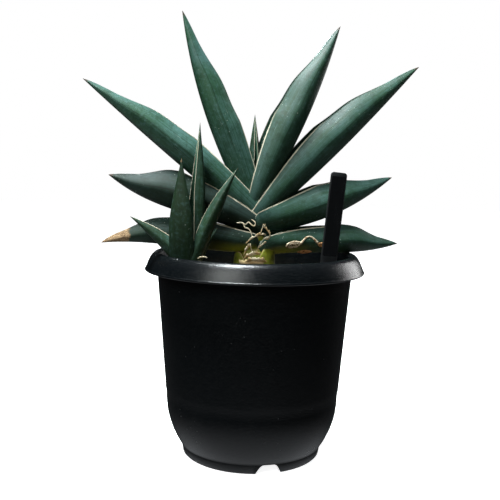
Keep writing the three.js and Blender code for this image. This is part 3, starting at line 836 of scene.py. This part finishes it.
class PLANT_OT_stems(bpy.types.Operator):
    """Turn the stem, the offset's stem and the dry husks round the stem"""

    bl_idname = "snake_plant.stems"
    bl_label = "Stems and husks"

    def execute(self, context):
        look = context.scene.snake_plant
        green = stem_material(look)
        stem = ((0, 98), (6, 98.4), (11, 102), (13, 108), (13.3, 116), (13.6, 122), (13.1, 126), (13.4, 130),
                (12.9, 134), (12, 138), (10, 143), (8, 147), (4, 156), (0, 161))
        bm = spun([(r * MM, z * MM) for r, z in stem], 48)
        self.wobble(bm, 0.5)
        piece("stem_skin", bm, green, ["stem"])

        low, high = (Vector(corner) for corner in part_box("offset_stem"))
        radius = (high.x - low.x) / 2
        bm = spun([(0, low.z), (radius * 0.7, low.z + MM), (radius, low.z + 5 * MM),
                   (radius, high.z - 6 * MM), (radius * 0.6, high.z - MM), (0, high.z)], 32)
        bmesh.ops.translate(bm, verts=bm.verts, vec=((low.x + high.x) / 2, (low.y + high.y) / 2, 0))
        piece("offset_stem_skin", bm, green, ["offset_stem"])

        paper = paper_material(look, "husk_paper", tuple(look.tan), (0.60, 0.46, 0.24))
        for node, middle, arc in (("dry_husk_front", -100, 66), ("dry_husk_back", 95, 96)):
            self.husk(node, math.radians(middle), math.radians(arc), paper)
        self.scale("sheath_scale_right", -46, 66, 121, 144.0, green, paper)
        self.scale("sheath_scale_left", -146, 58, 121, 139.5, green, paper)
        return {"FINISHED"}

    @staticmethod
    def scale(name, middle, arc, low, high, green, paper):
        """A rounded green scale, left of an old leaf, that clasps the stem, and its pale edge."""
        columns, rows = 28, 12
        bm = bmesh.new()
        strip = [bm.verts.new((0, 0, 0)) for _ in range(rows + 1)]
        for pair in zip(strip, strip[1:]):
            bm.edges.new(pair)
        edge = []
        for column in range(columns + 1):
            if column:
                strip = next_ring(bm, strip, closed=False)
            across = 2 * column / columns - 1
            angle = math.radians(middle + arc / 2 * across)
            top = low + (high - low) * (0.35 + 0.65 * math.sqrt(max(0.0, 1 - abs(across) ** 2.6)))
            for row, vert in enumerate(strip):
                share = row / rows
                radius = 13.9 + 1.6 * math.sin(math.pi * min(1, share * 0.9)) * (1 - across ** 2)
                height = low + (top - low) * share
                vert.co = Vector((radius * math.cos(angle), radius * math.sin(angle), height)) * MM
            upwards = Vector((0.3 * math.cos(angle), 0.3 * math.sin(angle), 1)).normalized()
            edge.append((strip[-1].co.copy(), upwards))
        obj = piece(name, bm, green, sharp=80.0)
        thicken(obj, 0.5 * MM)
        bm = bmesh.new()
        ribbon(bm, edge, 0.45 * MM, 0.3, random.Random(SEED))
        rim = piece(f"{name}_edge", bm, paper)
        thicken(rim, 0.25 * MM)

    @staticmethod
    def wobble(bm, size):
        for vert in bm.verts:
            radius = math.hypot(vert.co.x, vert.co.y)
            if radius > 2 * MM:
                push = noise.noise(vert.co * 120.0) * size * MM / radius
                vert.co.x *= 1 + push
                vert.co.y *= 1 + push

    @staticmethod
    def husk(node, middle, arc, paper):
        """A strip of old sheath round the stem, with a torn upper edge that flares out."""
        low, high = (Vector(corner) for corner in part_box(node))
        columns, rows = 40, 8
        bm = bmesh.new()
        strip = [bm.verts.new((0, 0, 0)) for _ in range(rows + 1)]
        for pair in zip(strip, strip[1:]):
            bm.edges.new(pair)
        for column in range(columns + 1):
            if column:
                strip = next_ring(bm, strip, closed=False)
            angle = middle + arc * (column / columns - 0.5)
            torn = 0.80 + 0.22 * noise.noise(Vector((angle * 7, 0, 3)))
            for row, vert in enumerate(strip):
                share = row / rows
                radius = (14.1 + 1.5 * share + 0.5 * noise.noise(Vector((angle * 9, share * 2, 0)))) * MM
                height = low.z + (high.z - low.z) * share * torn
                vert.co = (radius * math.cos(angle), radius * math.sin(angle), height)
        obj = piece(f"{node}_sheath", bm, paper, [node])
        thicken(obj, 0.4 * MM)


# Healed scars on the outside of the lowest right leaf: a ring, a ridge that arches over from it
# to a patch, and a dry patch under them. Each is a bowed strip, as (start and end along the
# leaf, turn round it, bow, half width at the ends and how much wider in the middle, both in
# millimetres). The ring is (along, turn, half its length, half its height).
SCAR_RING = (0.22, 0.6, 0.055, 0.03)
SCAR_ARCH = (0.26, 0.39, 0.60, 0.05, 0.9, -0.4)
SCAR_PATCH = (0.39, 0.44, 0.60, -0.01, 0.8, 1.2)
DRY_PATCH = (0.26, 0.36, 0.68, 0.0, 0.6, 1.8)


class PLANT_OT_scars(bpy.types.Operator):
    """Add the corky healed scars on the lowest right leaf"""

    bl_idname = "snake_plant.scars"
    bl_label = "Scars"

    def execute(self, context):
        look = context.scene.snake_plant
        cork = cork_material("scar_cork", (0.20, 0.105, 0.045), (0.60, 0.50, 0.36))
        rust = cork_material("scar_rust", (0.22, 0.075, 0.022), (0.52, 0.27, 0.12))
        along, turn, long, wide = SCAR_RING
        spiral = []
        for i in range(64):
            angle, reach = 2.6 * TAU * i / 64, 1.0 - 0.80 * i / 64
            place = (along + long * reach * math.cos(angle), turn - wide * reach * math.sin(angle))
            spiral.append((*place, 0.55))
        arch, patch, dry = (self.bowed(*row) for row in (SCAR_ARCH, SCAR_PATCH, DRY_PATCH))
        self.crust("leaf_scar_ring", spiral, 0.55, cork, look)
        self.crust("leaf_scar_arch", arch, 0.6, cork, look)
        self.crust("leaf_scar_patch", patch, 0.5, rust, look)
        self.crust("leaf_dry_patch", dry, 0.3, rust, look)
        return {"FINISHED"}

    @staticmethod
    def bowed(start, end, turn, bow, half, swell):
        """A strip's places along and round the leaf, with its half width at each."""
        shares = [i / 32 for i in range(33)]
        lifts = [math.sin(math.pi * share) for share in shares]
        return [(start + (end - start) * share, turn - bow * lift, half + swell * lift)
                for share, lift in zip(shares, lifts)]

    @staticmethod
    def crust(name, route, height, material, look):
        """A lumpy strip that lies on the skin, with its edges sunk in it."""
        leaf = LEAF["leaf_lowest_right"]
        places = [leaf.point(t, TAU * turn, look.ridge) for t, turn, _ in route]
        lifted = [leaf.point(t, TAU * turn, look.ridge, 1.0) for t, turn, _ in route]
        columns = 7
        bm = bmesh.new()
        row = [bm.verts.new((0, 0, 0)) for _ in range(columns)]
        for pair in zip(row, row[1:]):
            bm.edges.new(pair)
        for i, (place, above, (_, _, half)) in enumerate(zip(places, lifted, route)):
            if i:
                row = next_ring(bm, row, closed=False)
            run = places[min(i + 1, len(places) - 1)] - places[max(i - 1, 0)]
            up = (above - place).normalized()
            aside = up.cross(run).normalized()
            end = min(1.0, 0.35 + i / 3, 0.35 + (len(route) - 1 - i) / 3)
            for column, vert in enumerate(row):
                share = 2 * column / (columns - 1) - 1
                spot = place + aside * share * half * end * MM
                rough = 0.65 + 0.7 * noise.noise(spot * 1400.0)
                lift = height * end * rough * (1 - share * share) - 0.22 * abs(share) ** 3
                vert.co = spot + up * MM * lift
        strip = piece(name, bm, material, sharp=80.0)
        thicken(strip, 0.25 * MM)


class PLANT_OT_pot(bpy.types.Operator):
    """Turn the nursery pot and cut its notches and drain holes"""

    bl_idname = "snake_plant.pot"
    bl_label = "Pot"

    foot, recess, floor_top = 47.6, 45.4, 9.0
    bowl_round, bowl_centre = 58.0, 40.0
    wall_radius, wall_top, taper = 66.6, 127.0, 0.08

    def execute(self, context):
        look = context.scene.nursery_pot
        bm = spun([(r * MM, z * MM) for r, z in self.profile(look)], look.steps)
        obj = piece("pot_shell", bm, plastic_material(look), ["pot"], sharp=38.0)
        carve(obj, self.cutters())
        return {"FINISHED"}

    def wall(self, z):
        """Radius of the outside at a height: a round bowl, then a straight, tapered wall."""
        lean = math.hypot(1, self.taper)
        if z > self.bowl_centre + self.bowl_round * self.taper / lean:
            return self.wall_radius - self.taper * (self.wall_top - z)
        middle = self.wall_radius - self.taper * (self.wall_top - self.bowl_centre) - self.bowl_round * lean
        return middle + math.sqrt(self.bowl_round ** 2 - (z - self.bowl_centre) ** 2)

    def profile(self, look):
        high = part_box("pot")[1]
        rim, top = high[0] / MM, high[2] / MM
        thick, lip = look.wall / MM, look.lip / MM
        crest, edge = 67.0, 127.4
        heights = [7.4 + (126.0 - 7.4) * (i / 34) ** 1.4 for i in range(35)]
        outer = self.lip_line(crest, rim - 0.6, top, edge + 0.9, 18)
        under = self.lip_line(crest, rim - lip, top - lip, edge, 12)
        bead = [(rim - 0.42, edge + 0.72), (rim - 0.12, edge + 0.42), (rim, edge),
                (rim - 0.12, edge - 0.42), (rim - 0.42, edge - 0.72), (rim - 0.8, edge - 0.8),
                (rim - 1.3, edge - 0.6), (rim - 1.6, edge - 0.3)]
        inside = [(self.wall(z) - thick, z) for z in heights if z > self.floor_top + 2]
        return (
            [(0, 7.0), (self.recess - 0.8, 7.0), (self.recess, 6.2), (self.recess, 0.5), (self.recess + 0.4, 0.0),
             (self.foot - 0.6, 0.0), (self.foot, 0.6), (self.foot + 0.9, 5.6), (self.foot + 0.95, 6.3),
             (self.foot + 1.55, 6.6)]
            + [(self.wall(z), z) for z in heights] + under + bead[::-1] + outer[::-1]
            + [(65.9, 138.8), (65.1, 138.1), (64.7, 136.8)]
            + inside[::-1] + [(self.wall(7.4) - thick - 0.6, self.floor_top), (0, self.floor_top)]
        )

    @staticmethod
    def lip_line(crest, rim, top, edge, steps):
        """The turned-over lip from its crest to its edge."""
        outs = [math.sin(math.pi / 2 * i / steps) for i in range(steps + 1)]
        return [(crest + (rim - crest) * out, edge + (top - edge) * (1 - out ** 2)) for out in outs]

    def cutters(self):
        """Arches through the foot ring and round holes through the floor."""
        half, crown, height = 8.6, 3.5, 6.3
        side = []
        for t in (i / 10 for i in range(11)):
            s = 1 - t
            out = s ** 3 * half + 3 * s * s * t * (half - 1) + 3 * s * t * t * (crown + 2) + t ** 3 * crown
            side.append((out, (s * s * t + 3 * s * t * t + t ** 3) * height))
        arch = [(half, -1), *side] + [(-y, z) for y, z in side[::-1]] + [(-half, -1)]
        for azimuth in (-75.5, 44.5, 164.5):
            bm = bmesh.new()
            face = bm.faces.new([bm.verts.new(((self.foot - 7) * MM, y * MM, z * MM)) for y, z in arch])
            pushed = bmesh.ops.extrude_face_region(bm, geom=[face])["geom"]
            moved = [item for item in pushed if isinstance(item, bmesh.types.BMVert)]
            bmesh.ops.translate(bm, verts=moved, vec=(12 * MM, 0, 0))
            turn = Matrix.Rotation(math.radians(azimuth), 3, "Z")
            bmesh.ops.rotate(bm, verts=bm.verts, cent=(0, 0, 0), matrix=turn)
            yield bm
        for radius, ring, azimuth in [(6.0, 0, 0)] + [(4.5, 28, 60 * i) for i in range(6)]:
            bm = bmesh.new()
            bmesh.ops.create_cone(bm, cap_ends=True, segments=40, radius1=radius * MM,
                                  radius2=radius * MM, depth=8 * MM)
            bmesh.ops.translate(bm, verts=bm.verts, vec=(ring * MM, 0, 8 * MM))
            turn = Matrix.Rotation(math.radians(azimuth), 3, "Z")
            bmesh.ops.rotate(bm, verts=bm.verts, cent=(0, 0, 0), matrix=turn)
            yield bm


class PLANT_OT_soil(bpy.types.Operator):
    """Fill the pot with potting mix and scatter loose grains on it"""

    bl_idname = "snake_plant.soil"
    bl_label = "Soil"

    # Radius and height down the side of the bed, inside the pot's bowl.
    shoulder_height, foot_radius = 80.0, 46.0
    side = ((59.0, 55.0), (57.2, 35.0), (54.0, 22.0), (49.0, 12.5))

    def execute(self, context):
        look = context.scene.potting_soil
        low, high = (Vector(corner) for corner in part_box("soil"))
        radius = high.x
        crown = high.z - 1.5 * MM
        rings = [(radius * i / 40, crown + 1.5 * MM * (1 - (i / 40) ** 2)) for i in range(41)]
        side = [(radius - 1.2 * MM, self.shoulder_height * MM)]
        side += [(r * MM, z * MM) for r, z in self.side]
        side += [(self.foot_radius * MM, low.z), (0, low.z)]
        bm = spun(rings + side, 120)
        tone = bm.verts.layers.float.new("tone")
        for vert in bm.verts:
            if vert.co.z > crown - MM and vert.co.to_2d().length < radius - MM:
                vert.co.z -= 0.7 * MM - 0.9 * MM * noise.noise(vert.co * 190.0)
            vert[tone] = 0.06
        piece("soil_bed", bm, soil_material(look, "soil_mix"), ["soil"])
        self.grains(look, radius - 2 * MM, crown)
        return {"FINISHED"}

    @staticmethod
    def grains(look, reach, level):
        rng = random.Random(SEED + 3)
        bm = bmesh.new()
        tone = bm.verts.layers.float.new("tone")
        stem_clear, offset_clear, offset = 0.0145, 0.007, Vector((-0.043, -0.029))
        placed = 0
        while placed < look.grains:
            angle, out = rng.uniform(0, TAU), math.sqrt(rng.random()) * reach
            x, y = out * math.cos(angle), out * math.sin(angle)
            size = look.largest * (0.22 + 0.78 * rng.random() ** 2.2)
            by_offset = (Vector((x, y)) - offset).length < offset_clear + size
            if out < stem_clear + size or by_offset or out + size > reach:
                continue
            placed += 1
            made = bmesh.ops.create_icosphere(bm, subdivisions=1, radius=size)["verts"]
            squash = Vector((rng.uniform(0.7, 1.3), rng.uniform(0.6, 1.0), rng.uniform(0.45, 0.8)))
            shade = rng.choice((0.05, 0.12, 0.2, 0.75, 0.95, 0.10))
            turn = Matrix.Rotation(rng.uniform(0, TAU), 3, "Z")
            turn = turn @ Matrix.Rotation(rng.uniform(-0.5, 0.5), 3, "X")
            for vert in made:
                vert.co = turn @ (vert.co * squash * rng.uniform(0.85, 1.15))
                vert[tone] = shade
            bmesh.ops.translate(bm, verts=made, vec=(x, y, level + 0.3 * size))
        piece("soil_grit", bm, soil_material(look, "soil_grains"), sharp=25.0)


class PLANT_OT_hidden(bpy.types.Operator):
    """Give the roots and the runner in the soil their skin"""

    bl_idname = "snake_plant.hidden"
    bl_label = "Roots and runner"

    def execute(self, context):
        skin = root_material(context.scene.snake_plant)
        for node in ("roots", "offset_runner"):
            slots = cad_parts[node].data.materials
            slots.clear()
            slots.append(skin)
        return {"FINISHED"}


class PLANT_OT_label(bpy.types.Operator):
    """Make the plant label and its strip of blank tape"""

    bl_idname = "snake_plant.label"
    bl_label = "Label"

    width, thickness, corner = 10.6, 1.2, 2.0
    bottom, top, point = 82.0, 194.8, 8.0
    foot, lean, yaw = (47.6, -32.0, 138.0), 5.2, 8.0
    tape_width, tape_from, tape_to = 9.0, 141.0, 192.2

    def execute(self, context):
        look = context.scene.plant_label
        plate = self.plate()
        self.stand(plate)
        satin = smooth_material("label_plastic", tuple(look.plastic), 0.34, 900.0, 0.45)
        piece("label_plate", plate, satin, ["label"], sharp=50.0)

        tape = bmesh.new()
        bmesh.ops.create_cube(tape, size=1.0)
        size = (self.tape_width * MM, 0.14 * MM, (self.tape_to - self.tape_from) * MM)
        middle = (0, -(self.thickness / 2 + 0.06) * MM, (self.tape_from + self.tape_to) / 2 * MM)
        bmesh.ops.scale(tape, verts=tape.verts, vec=size)
        bmesh.ops.translate(tape, verts=tape.verts, vec=middle)
        corners = [e for e in tape.edges if abs(e.verts[0].co.y - e.verts[1].co.y) > 0.05 * MM]
        bmesh.ops.bevel(tape, geom=corners, offset=0.7 * MM, segments=4, profile=0.5,
                        affect="EDGES", material=-1)
        self.stand(tape)
        gloss = smooth_material("label_tape", tuple(look.tape), 0.16, 300.0, 0.5)
        piece("label_tape_strip", tape, gloss, ["label_tape"], sharp=50.0)
        return {"FINISHED"}

    def plate(self):
        """The outline, filled and pushed out to the plate's thickness, with its edges rounded."""
        half = self.width / 2
        side, top = half - self.corner, self.top - self.corner
        arc = [(side + self.corner * math.sin(a), top + self.corner * math.cos(a))
               for a in (math.pi / 2 * i / 8 for i in range(9))]
        shoulder = self.bottom + self.point
        outline = arc + [(half, shoulder), (0, self.bottom), (-half, shoulder)]
        outline += [(-x, z) for x, z in arc[::-1]]
        bm = bmesh.new()
        verts = [bm.verts.new((x * MM, self.thickness / 2 * MM, z * MM)) for x, z in outline]
        face = bm.faces.new(verts)
        pushed = bmesh.ops.extrude_face_region(bm, geom=[face])["geom"]
        moved = [item for item in pushed if isinstance(item, bmesh.types.BMVert)]
        bmesh.ops.translate(bm, verts=moved, vec=(0, -self.thickness * MM, 0))
        bmesh.ops.recalc_face_normals(bm, faces=bm.faces)
        rims = [e for e in bm.edges if abs(e.verts[0].co.y - e.verts[1].co.y) < 1e-6]
        bmesh.ops.bevel(bm, geom=rims, offset=0.2 * MM, segments=2, profile=0.5,
                        affect="EDGES", material=-1)
        return bm

    def stand(self, bm):
        """Leans and turns the label about where it crosses the rim's height."""
        x, y, z = (size * MM for size in self.foot)
        bmesh.ops.translate(bm, verts=bm.verts, vec=(0, 0, -z))
        yaw = Matrix.Rotation(math.radians(self.yaw), 3, "Z")
        turn = yaw @ Matrix.Rotation(math.radians(self.lean), 3, "Y")
        bmesh.ops.rotate(bm, verts=bm.verts, cent=(0, 0, 0), matrix=turn)
        bmesh.ops.translate(bm, verts=bm.verts, vec=(x, y, z))


class PLANT_OT_stage(bpy.types.Operator):
    """Set the camera, the lights and the pale floor"""

    bl_idname = "snake_plant.stage"
    bl_label = "Stage"

    def execute(self, context):
        look = context.scene.plant_stage
        self.camera(look)
        self.floor(look)
        self.light("key", (-0.24, -0.16, 1.15), 0.34, look.key, (0.91, 0.98, 1.0))
        self.light("rim", (-0.36, 0.62, 0.85), 0.30, look.rim, (0.90, 0.98, 1.0))
        self.light("fill", (-0.45, -0.75, 0.75), 0.60, look.fill, (0.95, 1.0, 0.97))
        self.light("back", (0.95, 0.70, 0.40), 0.60, look.back, (1.0, 1.0, 1.0))
        self.sky(look)
        context.scene.view_settings.view_transform = "Standard"
        return {"FINISHED"}

    @staticmethod
    def camera(look):
        data = bpy.data.cameras.new("camera")
        data.lens = look.lens
        data.sensor_width = 36.0
        data.clip_start = 0.01
        obj = bpy.data.objects.new("camera", data)
        bpy.context.scene.collection.objects.link(obj)
        turn = (Matrix.Rotation(look.turn, 4, "Z") @ Matrix.Rotation(math.pi / 2 - look.pitch, 4, "X")
                @ Matrix.Rotation(look.roll, 4, "Z"))
        obj.matrix_world = Matrix.Translation((0, -look.distance, look.height)) @ turn
        bpy.context.scene.camera = obj

    @staticmethod
    def floor(look):
        bm = bmesh.new()
        bmesh.ops.create_circle(bm, cap_ends=True, segments=96, radius=4.0)
        mesh = bpy.data.meshes.new("floor")
        bm.to_mesh(mesh)
        bm.free()
        mesh.materials.append(floor_material(look))
        obj = bpy.data.objects.new("floor", mesh)
        bpy.context.scene.collection.objects.link(obj)
        obj.visible_diffuse = obj.visible_glossy = False

    @staticmethod
    def light(name, place, size, watts, tint):
        data = bpy.data.lights.new(name, "AREA")
        data.shape = "DISK"
        data.size = size
        data.energy = watts
        data.color = tint
        obj = bpy.data.objects.new(name, data)
        bpy.context.scene.collection.objects.link(obj)
        aim = Vector((0, 0, 0.16)) - Vector(place)
        obj.matrix_world = Matrix.Translation(place) @ aim.to_track_quat("-Z", "Y").to_matrix().to_4x4()

    @staticmethod
    def sky(look):
        """Soft surroundings, and a plain white background behind the object."""
        world = bpy.data.worlds.new("surroundings")
        world.use_nodes = True
        tree = world.node_tree
        background = tree.nodes["Background"]
        background.inputs["Color"].default_value = (0.90, 0.95, 1.0, 1.0)
        direction = tree.nodes.new("ShaderNodeTexCoord")
        height = tree.nodes.new("ShaderNodeSeparateXYZ")
        unit = tree.nodes.new("ShaderNodeMapRange")
        unit.inputs[1].default_value = -1.0
        gradient = tree.nodes.new("ShaderNodeValToRGB")
        Graph.stops(gradient.color_ramp, ((0.0, 0.9), (0.12, 0.7), (0.27, 0.06), (0.45, 0.004), (0.55, 0.006),
                                          (0.72, 0.05), (1.0, look.sky)))
        tree.links.new(direction.outputs["Generated"], height.inputs[0])
        tree.links.new(height.outputs[2], unit.inputs[0])
        tree.links.new(unit.outputs[0], gradient.inputs[0])
        tree.links.new(gradient.outputs[0], background.inputs["Strength"])
        bright = tree.nodes.new("ShaderNodeBackground")
        bright.inputs["Strength"].default_value = 1.0
        bright.inputs["Color"].default_value = (1.0, 1.0, 1.0, 1.0)
        rays = tree.nodes.new("ShaderNodeLightPath")
        choice = tree.nodes.new("ShaderNodeMixShader")
        tree.links.new(rays.outputs["Is Camera Ray"], choice.inputs[0])
        tree.links.new(background.outputs[0], choice.inputs[1])
        tree.links.new(bright.outputs[0], choice.inputs[2])
        tree.links.new(choice.outputs[0], tree.nodes["World Output"].inputs["Surface"])
        bpy.context.scene.world = world


class PLANT_PT_panel(bpy.types.Panel):
    """The pieces of the potted plant, in the order they are made"""

    bl_idname = "PLANT_PT_panel"
    bl_label = "Potted Snake Plant"
    bl_space_type = "VIEW_3D"
    bl_region_type = "UI"
    bl_category = "Snake Plant"

    def draw(self, context):
        for operator in OPERATORS:
            self.layout.operator(operator.bl_idname)
        for group in GROUPS:
            box = self.layout.box()
            settings = getattr(context.scene, group)
            for name in settings.bl_rna.properties.keys():
                if name not in {"rna_type", "name"}:
                    box.prop(settings, name)


GROUPS = {
    "snake_plant": PlantLook, "nursery_pot": PotLook, "potting_soil": SoilLook,
    "plant_label": LabelLook, "plant_stage": StageLook,
}
OPERATORS = (
    PLANT_OT_stage, PLANT_OT_pot, PLANT_OT_soil, PLANT_OT_stems, PLANT_OT_hidden, PLANT_OT_leaves,
    PLANT_OT_margins, PLANT_OT_fibres, PLANT_OT_scars, PLANT_OT_label,
)


def register():
    for cls in (*GROUPS.values(), *OPERATORS, PLANT_PT_panel):
        bpy.utils.register_class(cls)
    for name, group in GROUPS.items():
        setattr(bpy.types.Scene, name, PointerProperty(type=group))


def unregister():
    for name in GROUPS:
        delattr(bpy.types.Scene, name)
    for cls in reversed((*GROUPS.values(), *OPERATORS, PLANT_PT_panel)):
        bpy.utils.unregister_class(cls)


def main():
    register()
    for operator in OPERATORS:
        group, name = operator.bl_idname.split(".")
        getattr(getattr(bpy.ops, group), name)()


if __name__ == "__main__":
    main()
